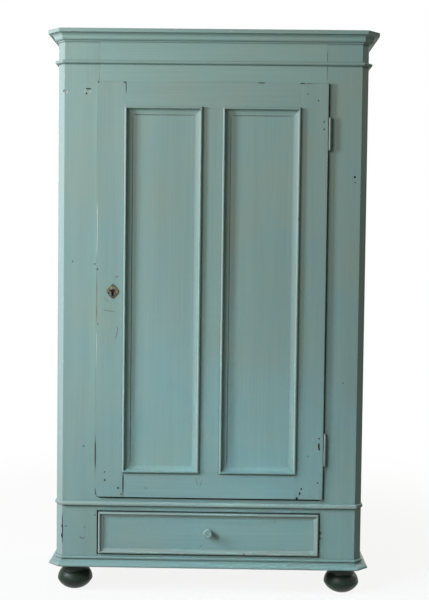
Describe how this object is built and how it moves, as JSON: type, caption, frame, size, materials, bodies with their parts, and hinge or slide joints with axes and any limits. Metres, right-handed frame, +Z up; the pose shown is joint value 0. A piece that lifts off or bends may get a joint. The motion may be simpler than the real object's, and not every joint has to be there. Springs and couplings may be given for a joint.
{
  "type": "one-door cupboard with a drawer",
  "caption": "Tall narrow painted pine cupboard with one hinged panelled door over shelves, a full-width drawer below, canted corners, cornice, plinth and turned feet.",
  "frame": {"origin": "on the floor, under the middle of the overall box", "axes": "+X to the right of the front, the front faces -Y, +Z up"},
  "size_m": [1.054, 0.532, 1.81],
  "materials": {
    "painted_pine": "old sage blue-green eggshell paint over pine, chipped along the edges",
    "bare_pine": "bare planed pine, darkened with age",
    "foot_paint": "very dark green-black satin paint on turned wood",
    "painted_iron": "iron painted over with the case",
    "lock_iron": "dull sheet iron, browned with age",
    "aged_brass": "aged brass, greyed and rubbed bright at the edge"
  },
  "bodies": {
    "carcass": {"left_front_stile": "painted_pine", "right_front_stile": "painted_pine", "bottom_rail": "painted_pine", "mid_rail": "painted_pine", "frieze_rail": "painted_pine", "left_side_panel": "painted_pine", "right_side_panel": "painted_pine", "cornice_front": "painted_pine", "cornice_cants": "painted_pine", "cornice_returns": "painted_pine", "frieze_bead": "painted_pine", "waist_moulding": "painted_pine", "plinth_front": "painted_pine", "plinth_cants": "painted_pine", "plinth_returns": "painted_pine", "floor_board": "bare_pine", "top_board": "bare_pine", "back_boards": "bare_pine", "lower_shelf": "bare_pine", "middle_shelf": "bare_pine", "upper_shelf": "bare_pine", "shelf_cleats": "bare_pine", "drawer_runners": "bare_pine", "drawer_guides": "bare_pine", "drawer_stops": "bare_pine", "base_board": "bare_pine", "front_left_foot": "foot_paint", "front_right_foot": "foot_paint", "rear_left_foot": "foot_paint", "rear_right_foot": "foot_paint", "lower_hinge_frame_leaf": "painted_iron", "upper_hinge_frame_leaf": "painted_iron", "frame_hinge_nails": "painted_iron", "hinge_pins": "lock_iron", "strike_plate": "lock_iron"},
    "door": {"door_top_rail": "painted_pine", "door_bottom_rail": "painted_pine", "door_muntin": "painted_pine", "door_lock_stile": "painted_pine", "door_hinge_stile": "painted_pine", "door_left_panel": "painted_pine", "door_right_panel": "painted_pine", "left_panel_moulding": "painted_pine", "right_panel_moulding": "painted_pine", "lower_hinge_door_leaf": "painted_iron", "upper_hinge_door_leaf": "painted_iron", "door_hinge_nails": "painted_iron", "key_plate": "aged_brass", "lock_case": "lock_iron", "lock_drill_pin": "lock_iron", "lock_screws": "lock_iron"},
    "lock_bolt": {"lock_bolt": "lock_iron"},
    "drawer": {"drawer_front": "painted_pine", "drawer_left_side": "bare_pine", "drawer_right_side": "bare_pine", "drawer_back": "bare_pine", "drawer_bottom": "bare_pine", "drawer_front_moulding": "painted_pine", "drawer_knob": "painted_pine", "knob_screw": "lock_iron"}
  },
  "joints": [
    {"name": "door_hinge", "type": "hinge", "parent": "carcass", "child": "door", "pos_m": [0.373, -0.24, 0.983], "axis": [0, 0, 1], "range_deg": [0, 170]},
    {"name": "drawer_slide", "type": "slide", "parent": "carcass", "child": "drawer", "axis": [0, -1, 0], "range_m": [0, 0.33]},
    {"name": "lock_bolt_slide", "type": "slide", "parent": "door", "child": "lock_bolt", "axis": [-1, 0, 0], "range_m": [0, 0.012]}
  ]
}
